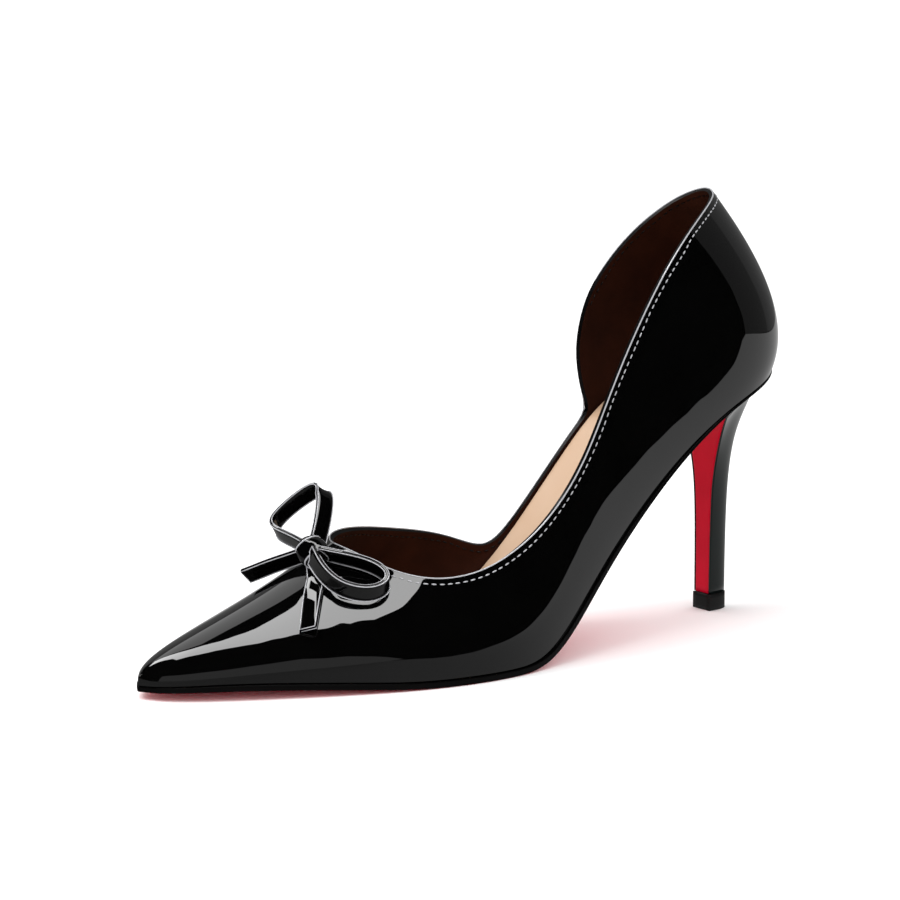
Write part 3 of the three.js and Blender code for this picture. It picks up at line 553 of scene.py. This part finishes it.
@dataclass
class Sole:
    """Outsole with its painted edge, and the sock that the foot stands on."""

    nodes: dict[str, bpy.types.Object]
    edge_round: float = 0.35 * MM
    sock_round: float = 0.5 * MM
    # The lacquer ends this share of the way along the heel, where the heel covers the sole.
    seat_share: float = 0.5
    # Patches that face down more than this belong to the underside.
    facing_down: float = -0.5
    corner: float = math.radians(50)

    def build(self) -> None:
        """Builds both layers."""
        self.build_outsole()
        self.build_sock()

    def build_outsole(self) -> None:
        """Makes the outsole: crimson underneath, black along its edge."""
        piece = copy_node(self.nodes["outsole"], "lacquered_outsole")
        patches = find_patches(piece, self.corner)
        heel_low, heel_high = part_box("heel")
        seat = heel_low[0] + self.seat_share * (heel_high[0] - heel_low[0])
        under = [face for patch in patches if patch.facing.z < self.facing_down for face in patch.faces]
        lacquered = [face for face in under if piece.data.polygons[face].center.x < seat]
        paint(piece, [EDGE_INK, LACQUER], {1: lacquered})
        round_and_smooth(piece, self.edge_round)
        settle(piece, "lacquered_sole", "outsole")

    def build_sock(self) -> None:
        """Makes the sock of undyed calf."""
        piece = copy_node(self.nodes["insole"], "calf_sock")
        find_patches(piece, self.corner)
        paint(piece, [CALF], {})
        round_and_smooth(piece, self.sock_round)
        settle(piece, "insole_leather", "insole")


@dataclass
class Stitch:
    """Where one stitch lies: its middle, its run and the way out of the leather."""

    middle: Vector
    along: Vector
    out: Vector


@dataclass
class Upper:
    """The patent shell with its lining, the bead round its topline and the stitching below it."""

    nodes: dict[str, bpy.types.Object]
    corner: float = math.radians(50)
    rim_round: float = 0.3 * MM
    bead_radius: float = 0.22 * MM
    stitch_drop: float = 1.7 * MM
    stitch_pitch: float = 2.4 * MM
    stitch_length: float = 1.7 * MM
    stitch_radius: float = 0.19 * MM
    stitch_facets: int = 8
    stitch_rings: int = 5
    # A stitch's half width and half height, and how far its middle lies out of the leather, in its radii.
    stitch_swell: tuple[float, float] = (1.25, 0.9)
    stitch_lift: float = 0.2
    # Where the line down the wall is shorter than this, as low on the inner quarter, the seam is left out.
    least_wall: float = 11 * MM
    # A line down the outside ends where no edge of the mesh goes on in about the same direction.
    least_turn: float = 0.2
    # How many points of the topline on each side of a line its distance is taken from.
    topline_reach: int = 6
    rail_steps: int = 12
    curve_steps: int = 24
    # The needle's way through the wall: where it starts under the film, and the farthest that it goes.
    needle_start: float = 0.4 * MM
    needle_reach: float = 4 * MM
    shell: bpy.types.Object | None = field(default=None, init=False)
    surface: BVHTree | None = field(default=None, init=False)

    def build(self) -> None:
        """Builds the shell, its bead and its stitching."""
        rails = self.build_shell()
        self.surface = BVHTree.FromObject(self.shell, bpy.context.evaluated_depsgraph_get())
        self.build_bead([rail[0] for rail in rails])
        outside = self.stitch_places(rails)
        # The outside stitches take the pale grey thread, a painted highlight.
        self.build_stitches("topline_stitches", outside, THREAD_HIGHLIGHT)
        self.build_stitches("lining_stitches", self.through_the_wall(outside), THREAD_BROWN)

    def build_shell(self) -> list[list[Vector]]:
        """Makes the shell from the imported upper.

        Returns:
            For each point of the topline, in order round the opening, the line down the outside from it.
        """
        piece = copy_node(self.nodes["upper"], "patent_shell")
        patches = find_patches(piece, self.corner)
        outside, inside = patches[0], patches[1]
        top_rim = max(patches[2:], key=lambda patch: patch.height)
        paint(piece, [PATENT, LINING, EDGE_INK], {1: inside.faces, 2: top_rim.faces})
        rails = self.rails_down(piece, set(outside.faces), set(top_rim.faces))
        round_and_smooth(piece, self.rim_round)
        settle(piece, "patent_upper", "upper")
        self.shell = piece
        return rails

    def rails_down(self, piece: bpy.types.Object, outside: set[int], rim: set[int]) -> list[list[Vector]]:
        """Follows the mesh's own lines from the topline down the outside.

        Args:
            piece: the mesh object.
            outside: the faces of the outside.
            rim: the faces of the top rim.

        Returns:
            The points of each line, from the topline down, in order round the opening.
        """
        mesh = bmesh.new()
        mesh.from_mesh(piece.data)
        mesh.verts.ensure_lookup_table()
        topline = []
        for edge in mesh.edges:
            sides = {face.index for face in edge.link_faces}
            if sides & outside and sides & rim:
                topline.append(edge)
        beside = joined_points(topline)
        start = min(beside, key=lambda index: mesh.verts[index].co.x)
        order = [start, beside[start][0]]
        while order[-1] != start:
            here, there = order[-1], order[-2]
            order.append(next(index for index in beside[here] if index != there))
        order.pop()
        rails = []
        for number, index in enumerate(order):
            run = mesh.verts[order[(number + 1) % len(order)]].co - mesh.verts[order[number - 1]].co
            heading = Vector((0.0, 0.0, -1.0)) - run * (-run.z / run.length_squared)
            rails.append(self.one_rail(mesh.verts[index], heading, outside, set(beside)))
        mesh.free()
        return rails

    def one_rail(
        self, vert: bmesh.types.BMVert, heading: Vector, outside: set[int], topline: set[int]
    ) -> list[Vector]:
        """Follows one line of the mesh down the outside, always along the edge that turns least.

        Args:
            vert: the point of the topline that it starts from.
            heading: the direction that it sets out in.
            outside: the faces of the outside.
            topline: the points of the topline, which it doesn't come back to.

        Returns:
            The line's points.
        """
        rail = [vert.co.copy()]
        seen = {vert.index}
        while vert is not None:
            best, best_turn = None, self.least_turn
            for edge in vert.link_edges:
                other = edge.other_vert(vert)
                if other.index in seen or other.index in topline:
                    continue
                if not {face.index for face in edge.link_faces} <= outside:
                    continue
                turn = (other.co - vert.co).normalized().dot(heading.normalized())
                if turn > best_turn:
                    best, best_turn = other, turn
            if best is not None:
                heading = best.co - vert.co
                seen.add(best.index)
                rail.append(best.co.copy())
            vert = best
        return rail

    def build_bead(self, topline: list[Vector]) -> None:
        """Makes the rolled bead along the topline.

        Args:
            topline: the outer edge of the topline.
        """
        points = [self.surface.find_nearest(place)[0] for place in topline]
        piece = bead_along("topline_bead", points, self.bead_radius, Run.SMOOTH)
        # Pale grey finish: a painted highlight along the bead.
        paint(piece, [PAINTED_EDGE_HIGHLIGHT], {})
        settle(piece, "patent_upper")

    def build_stitches(self, name: str, places: list[Stitch], finish: Coated) -> None:
        """Makes a row of stitches.

        Args:
            name: the row's name.
            places: where each stitch lies.
            finish: the thread.
        """
        first = self.one_stitch()
        copies = []
        for place in places:
            stitch = put("stitch", first.data.copy())
            across = place.out.cross(place.along).normalized()
            for vert in stitch.data.vertices:
                x, y, z = vert.co
                vert.co = place.middle + place.along * x + across * y + place.out * z
            copies.append(stitch)
        bpy.data.objects.remove(first)
        select_only(copies[0])
        for stitch in copies:
            stitch.select_set(True)
        bpy.ops.object.join()
        piece = bpy.context.object
        piece.name = name
        bpy.ops.object.shade_smooth()
        paint(piece, [finish], {})
        settle(piece, "patent_upper")

    def one_stitch(self) -> bpy.types.Object:
        """Models one stitch lying along X with its outside up.

        Returns:
            The stitch.
        """
        bpy.ops.object.select_all(action="DESELECT")
        bpy.ops.mesh.primitive_uv_sphere_add(
            segments=self.stitch_facets, ring_count=self.stitch_rings, radius=self.stitch_radius
        )
        stitch = bpy.context.object
        bpy.ops.object.mode_set(mode="EDIT")
        bpy.ops.mesh.select_all(action="SELECT")
        bpy.ops.transform.resize(value=(self.stitch_length / 2 / self.stitch_radius, *self.stitch_swell))
        bpy.ops.object.mode_set(mode="OBJECT")
        return stitch

    def stitch_places(self, rails: list[list[Vector]]) -> list[Stitch]:
        """Finds where each stitch of the outside lies, leaving out where the wall is too low to sew.

        Args:
            rails: the lines down the outside from each point of the topline.

        Returns:
            The stitches in order.
        """
        topline = [rail[0] for rail in rails]
        count = len(rails)
        line: list[Vector | None] = []
        for index, rail in enumerate(rails):
            tall = sum((b - a).length for a, b in zip(rail, rail[1:]))
            steps = range(-self.topline_reach, self.topline_reach + 1)
            near = [topline[(index + step) % count] for step in steps]
            line.append(self.point_below(rail, near) if tall > self.least_wall else None)
        places = []
        due = 0.0
        for index in range(count):
            four = [line[(index + step) % count] for step in (-1, 0, 1, 2)]
            if any(point is None for point in four):
                due = 0.0
                continue
            curve = [self.spline_point(four, step / self.curve_steps) for step in range(self.curve_steps + 1)]
            for start, end in zip(curve, curve[1:]):
                due -= (end - start).length
                if due > 0:
                    continue
                due += self.stitch_pitch
                place, normal, _, _ = self.surface.find_nearest(end)
                places.append(self.stitch_at(place, normal, end - start))
        return places

    def stitch_at(self, place: Vector, normal: Vector, run: Vector) -> Stitch:
        """Lays a stitch on the surface, as near as it can to the run of the seam."""
        along = (run - normal * run.dot(normal)).normalized()
        return Stitch(place + normal * self.stitch_radius * self.stitch_lift, along, normal)

    def point_below(self, rail: list[Vector], near: list[Vector]) -> Vector:
        """Goes down one line until the topline is as far as the seam lies below it.

        Args:
            rail: the line's points.
            near: the topline's points on both sides of the line.

        Returns:
            The point on the line.
        """
        for start, end in zip(rail, rail[1:]):
            for step in range(1, self.rail_steps + 1):
                point = start.lerp(end, step / self.rail_steps)
                if self.gap_to(point, near) >= self.stitch_drop:
                    return point
        return rail[-1]

    @staticmethod
    def gap_to(point: Vector, chain: list[Vector]) -> float:
        """Measures from a point to a chain of points joined by straight lines.

        Args:
            point: the point.
            chain: the chain's points in order.

        Returns:
            The shortest distance.
        """
        gaps = []
        for start, end in zip(chain, chain[1:]):
            step = end - start
            share = max(0.0, min(1.0, (point - start).dot(step) / step.length_squared))
            gaps.append((point - start - step * share).length)
        return min(gaps)

    @staticmethod
    def spline_point(four: list[Vector], share: float) -> Vector:
        """Finds a point of the smooth curve through four points, between the second and the third.

        Args:
            four: the four points.
            share: how much of the way from the second to the third it is.

        Returns:
            The point.
        """
        a, b, c, d = four
        straight = (c - a) * share
        square = (2 * a - 5 * b + 4 * c - d) * share**2
        cube = (3 * b - a - 3 * c + d) * share**3
        return 0.5 * (2 * b + straight + square + cube)

    def through_the_wall(self, outside: list[Stitch]) -> list[Stitch]:
        """Finds where the stitches come out on the lining.

        Args:
            outside: the stitches of the outside.

        Returns:
            The same stitches on the lining.
        """
        places = []
        for stitch in outside:
            start = stitch.middle - stitch.out * self.needle_start
            place, normal, _, _ = self.surface.ray_cast(start, -stitch.out, self.needle_reach)
            if place is not None:
                places.append(self.stitch_at(place, normal, stitch.along))
        return places


@dataclass
class Heel:
    """The covered heel, its crimson breast and its top piece."""

    nodes: dict[str, bpy.types.Object]
    corner: float = math.radians(38)

    def build(self) -> None:
        """Builds the three pieces, with crisp edges."""
        plan = (
            ("heel", "covered_heel", PATENT_HEEL, "patent_heel"),
            ("heel_breast", "lacquered_breast", LACQUER, "lacquered_breast"),
            ("top_piece", "rubber_top_piece", RUBBER, "top_piece_rubber"),
        )
        for node, name, finish, slot in plan:
            piece = copy_node(self.nodes[node], name)
            find_patches(piece, self.corner)
            paint(piece, [finish], {})
            keep_corners(piece)
            round_and_smooth(piece)
            settle(piece, slot, node)


@dataclass
class Bow:
    """Two loops and two tails of flat patent ribbon, and the knot that holds them."""

    nodes: dict[str, bpy.types.Object]
    corner: float = math.radians(38)
    edge_roll: float = 0.17 * MM
    knot_band: float = 5.4 * MM
    knot_bead: float = 0.26 * MM
    # About how many points an edge round the knot goes through.
    knot_points: int = 28

    def build(self) -> None:
        """Builds the ribbons and the knot."""
        for node in ("bow_loop_inner", "bow_loop_outer", "bow_tail_inner", "bow_tail_outer"):
            self.build_ribbon(node)
        self.build_knot()

    def build_ribbon(self, node: str) -> None:
        """Makes one length of ribbon with rolled edges.

        Args:
            node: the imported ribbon.
        """
        piece = copy_node(self.nodes[node], node.replace("bow_", "ribbon_"))
        patches = find_patches(piece, self.corner)
        keep_corners(piece)
        for patch, side in zip(patches, ("front", "back")):
            for number, loop in enumerate(border_of(piece, set(patch.faces))):
                self.build_edge(f"{piece.name}_{side}_edge_{number}", loop, self.edge_roll, Run.STRAIGHT)
        paint(piece, [PATENT], {})
        round_and_smooth(piece)
        settle(piece, "patent_bow", node)

    def build_edge(self, name: str, points: list[Vector], radius: float, run: Run) -> None:
        """Makes one rolled edge.

        Args:
            name: its name.
            points: the points that it follows.
            radius: its radius.
            run: how it goes from point to point.
        """
        bead = bead_along(name, points, radius, run)
        # Pale grey finish: a painted highlight along the rolled edge.
        paint(bead, [PAINTED_EDGE_HIGHLIGHT], {})
        settle(bead, "patent_bow")

    def build_knot(self) -> None:
        """Makes the knot and the rolled edges of the band wrapped round it."""
        piece = copy_node(self.nodes["bow_knot"], "wrapped_knot")
        paint(piece, [PATENT], {})
        round_and_smooth(piece)
        settle(piece, "patent_bow", "bow_knot")
        low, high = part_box("bow_knot")
        middle = (Vector(low) + Vector(high)) / 2
        inner, outer = (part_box(node) for node in ("bow_loop_inner", "bow_loop_outer"))
        axis = (Vector(outer[0]) + Vector(outer[1]) - Vector(inner[0]) - Vector(inner[1])).normalized()
        for side, name in ((-1, "knot_edge_inner"), (1, "knot_edge_outer")):
            points = self.ring_round(piece, middle + axis * side * self.knot_band / 2, axis)
            self.build_edge(name, points, self.knot_bead, Run.SMOOTH)

    def ring_round(self, piece: bpy.types.Object, place: Vector, axis: Vector) -> list[Vector]:
        """Gives the closed line where a plane cuts a rounded piece.

        Args:
            piece: the piece.
            place: a point of the plane.
            axis: the plane's normal.

        Returns:
            The line's points in order.
        """
        mesh = bmesh.new()
        mesh.from_mesh(piece.data)
        everything = mesh.verts[:] + mesh.edges[:] + mesh.faces[:]
        cut = bmesh.ops.bisect_plane(mesh, geom=everything, plane_co=place, plane_no=axis)["geom_cut"]
        points = [item.co.copy() for item in cut if isinstance(item, bmesh.types.BMVert)]
        mesh.free()
        middle = sum(points, Vector()) / len(points)
        side = axis.orthogonal().normalized()
        up = axis.cross(side)
        points.sort(key=lambda point: math.atan2((point - middle).dot(up), (point - middle).dot(side)))
        return points[:: max(1, len(points) // self.knot_points)]


# ---------------------------------------------------------------- the studio


@dataclass(frozen=True)
class Card:
    """A flat panel that only polished surfaces see: it shapes the reflections and gives no other light.

    Its strength is the same all over, or rises towards the heel. White paper is 1.
    """

    name: str
    corners: tuple[tuple[float, float, float], ...]
    strength: float
    rise_to: float | None = None
    rise_between: tuple[float, float] = (-0.1, 0.22)

    def build(self) -> None:
        """Hangs the card."""
        mesh = bpy.data.meshes.new(self.name)
        mesh.from_pydata(self.corners, [], [list(range(len(self.corners)))])
        card = put(self.name, mesh)
        material, tree = new_material(self.name)
        values = {"Color": linear("#ffffff"), "Strength": self.strength}
        light = add_node(tree, "ShaderNodeEmission", values=values)
        if self.rise_to is not None:
            place = add_node(tree, "ShaderNodeTexCoord").outputs["Object"]
            split = add_node(tree, "ShaderNodeSeparateXYZ", links={"Vector": place})
            ramp = add_node(
                tree,
                "ShaderNodeMapRange",
                values={
                    MAP_FROM_LOW: self.rise_between[0],
                    MAP_FROM_HIGH: self.rise_between[1],
                    MAP_TO_LOW: self.strength,
                    MAP_TO_HIGH: self.rise_to,
                },
                links={MAP_VALUE: split.outputs["X"]},
            )
            tree.links.new(ramp.outputs[0], light.inputs["Strength"])
        add_node(tree, "ShaderNodeOutputMaterial", links={"Surface": light.outputs["Emission"]})
        mesh.materials.append(material)
        card.visible_camera = False
        card.visible_diffuse = False
        card.visible_shadow = False
        card.visible_transmission = False


def flat_card(
    name: str,
    outline: list[tuple[float, float]],
    height: float,
    strength: float,
    rise_to: float | None = None,
) -> Card:
    """Makes a level card from its corners seen from above."""
    return Card(name, tuple((x, y, height) for x, y in outline), strength, rise_to)


def curved_cards(
    name: str, reach: float, rows: list[tuple[float, float, float]], strength: float
) -> list[Card]:
    """Makes upright cards side by side round the shoe, each seen between two elevations.

    Args:
        name: their name.
        reach: how far they stand from the middle.
        rows: azimuth, lowest and highest elevation in degrees, in order round the shoe.
        strength: how bright they are.

    Returns:
        The cards.
    """
    cards = []
    for number, (one, other) in enumerate(zip(rows, rows[1:])):
        (left, left_low, left_high), (right, right_low, right_high) = one, other
        outline = ((left, left_low), (right, right_low), (right, right_high), (left, left_high))
        corners = []
        for azimuth, elevation in outline:
            turn = math.radians(azimuth)
            rise = reach * math.tan(math.radians(elevation))
            corners.append((reach * math.cos(turn), reach * math.sin(turn), rise))
        cards.append(Card(f"{name}_{number}", tuple(corners), strength))
    return cards


# Soft ceiling light, seen as a long polygon over the shoe.
CEILING = [
    (-0.12, 1.4), (-0.33, 1.4), (-0.26, 0.85), (-0.245, 0.50), (-0.29, 0.33), (-0.24, 0.10), (-0.208, 0.03),
    (-0.203, -0.09), (-0.203, -0.25), (-0.19, -0.5), (-0.15, -0.64), (-0.06, -0.715), (0.25, -0.715),
    (0.25, -0.2), (-0.03, 0.0), (-0.075, 0.12), (-0.10, 0.20), (-0.115, 0.25), (-0.12, 0.32),
]
# The ceiling beside it, where it takes up some of its light.
GLOW = [(-0.09, 0.47), (-0.11, 1.0), (-0.11, 1.7), (0.5, 1.7), (0.5, 0.9), (0.05, 0.56), (-0.02, 0.47)]
# Lit part of the floor. What lies nearer to the camera is dark, and the side of the shoe mirrors it.
LIT_FLOOR = [
    (-0.026, -0.130), (-0.014, -0.105), (0.004, -0.106), (0.031, -0.117), (0.206, -0.141), (0.227, -0.145),
    (0.253, -0.159), (0.304, -0.189), (0.415, -0.25), (0.89, -0.52), (1.45, -0.80), (1.6, 1.6), (-1.6, 1.6),
    (-1.6, -1.6), (-0.15, -1.6),
]
# Pale wall behind the shoe: azimuth, lowest and highest elevation of each upright.
FAR_WALL = [(azimuth, 0.0, 62.0) for azimuth in (-6, 6, 18, 30, 42, 54, 66, 78, 90)]
# The same wall farther from the light, behind the heel.
HEEL_WALL = [(azimuth, 0.0, 62.0) for azimuth in (-29, -18, -6)]
# Grey sweep before the toe, which falls away towards the camera.
TOE_SWEEP = [
    (200, 0, 30), (217, 0, 30), (233, 0, 30), (250, 0, 27), (253, 0, 21), (256, 0, 18), (259, 0, 13),
    (262, 0, 9), (268, 0, 0.5),
]


@dataclass
class Studio:
    """Pale floor, soft light, the panels that the patent leather mirrors, and the camera."""

    target: Vector = field(default_factory=lambda: Vector((-0.00771, 0.00131, 0.06112)))
    back: Vector = field(default_factory=lambda: Vector((-0.57921, -0.79690, 0.17158)))
    distance: float = 1.0
    lens: float = 134.8
    sensor: float = 36.0
    clip: tuple[float, float] = (0.01, 100.0)
    floor_reach: float = 9.0
    # The shoe stands on z = 0. The floor lies just under it, and the lit card just under the floor.
    floor_height: float = -0.0001
    lit_floor_height: float = -0.0002
    ceiling_height: float = 1.0
    wall_reach: float = 1.6
    ceiling_strength: float = 9.0
    glow_strength: float = 1.4
    floor_strength: tuple[float, float] = (0.3, 0.8)
    far_wall_strength: float = 0.22
    heel_wall_strength: float = 0.14
    toe_sweep_strength: float = 0.5
    sky_strength: float = 1.16
    key_place: tuple[float, float, float] = (-0.6, 0.12, 1.0)
    key_size: tuple[float, float] = (0.9, 0.9)
    key_power: float = 9.0

    def build(self) -> None:
        """Builds the camera, the floor and the lights."""
        self.build_camera()
        self.build_floor()
        self.build_sky()
        self.build_cards()
        self.build_key_light()

    def build_camera(self) -> None:
        """Makes the camera."""
        data = bpy.data.cameras.new("camera")
        data.lens = self.lens
        data.sensor_width = self.sensor
        data.clip_start, data.clip_end = self.clip
        camera = put("camera", data)
        camera.location = self.target + self.back.normalized() * self.distance
        camera.rotation_mode = "QUATERNION"
        camera.rotation_quaternion = self.back.to_track_quat("Z", "Y")
        bpy.context.scene.camera = camera

    def build_floor(self) -> None:
        """Makes the floor. Polished surfaces see the cards in its place."""
        bpy.ops.object.select_all(action="DESELECT")
        bpy.ops.mesh.primitive_plane_add(size=2 * self.floor_reach, location=(0, 0, self.floor_height))
        floor = bpy.context.object
        floor.name = "studio_floor"
        material, tree = new_material("matt_white_sweep")
        shader = add_node(
            tree,
            "ShaderNodeBsdfPrincipled",
            values={"Base Color": linear("#fdfdfd"), "Roughness": 0.8, "Specular IOR Level": 0.0},
        )
        add_node(tree, "ShaderNodeOutputMaterial", links={"Surface": shader.outputs["BSDF"]})
        floor.data.materials.append(material)
        floor.visible_glossy = False

    def build_sky(self) -> None:
        """Makes the even light of the white room. Polished surfaces see it dark, apart from the cards."""
        world = bpy.data.worlds.new("studio")
        bpy.context.scene.world = world
        world.use_nodes = True
        tree = world.node_tree
        tree.nodes.clear()
        path = add_node(tree, "ShaderNodeLightPath")
        pale, dark = (
            add_node(tree, "ShaderNodeBackground", values={"Color": linear(colour), "Strength": strength})
            for colour, strength in (("#ffffff", self.sky_strength), ("#020202", 1.0))
        )
        links = {0: path.outputs["Is Glossy Ray"], 1: pale.outputs[0], 2: dark.outputs[0]}
        mix = add_node(tree, "ShaderNodeMixShader", links=links)
        add_node(tree, "ShaderNodeOutputWorld", links={"Surface": mix.outputs[0]})

    def build_cards(self) -> None:
        """Hangs the panels over and round the shoe that its polished surfaces mirror."""
        cards = [
            flat_card("ceiling_softbox", CEILING, self.ceiling_height, self.ceiling_strength),
            flat_card("ceiling_glow", GLOW, self.ceiling_height, self.glow_strength),
            flat_card("lit_floor", LIT_FLOOR, self.lit_floor_height, *self.floor_strength),
        ]
        for name, rows, strength in (
            ("far_wall", FAR_WALL, self.far_wall_strength),
            ("heel_wall", HEEL_WALL, self.heel_wall_strength),
            ("toe_sweep", TOE_SWEEP, self.toe_sweep_strength),
        ):
            cards += curved_cards(name, self.wall_reach, rows, strength)
        for card in cards:
            card.build()

    def build_key_light(self) -> None:
        """Hangs the softbox that lights the shoe. It stays out of the reflections."""
        data = bpy.data.lights.new("key_softbox", "AREA")
        data.shape = "RECTANGLE"
        data.size, data.size_y = self.key_size
        data.energy = self.key_power
        light = put("key_softbox", data)
        light.location = self.key_place
        light.rotation_mode = "QUATERNION"
        light.rotation_quaternion = (Vector(self.key_place) - self.target).to_track_quat("Z", "Y")
        light.visible_glossy = False


def main() -> None:
    """Builds the shoe and the studio."""
    logging.basicConfig(level=logging.INFO, format="%(message)s")
    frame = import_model()
    for finish in FINISHES:
        MATERIALS[finish.name] = finish.material()
    nodes = frame["nodes"]
    for part in (Sole(nodes), Upper(nodes), Heel(nodes), Bow(nodes), Studio()):
        part.build()
    bpy.context.scene.view_settings.view_transform = "Standard"


if __name__ == "__main__":
    main()
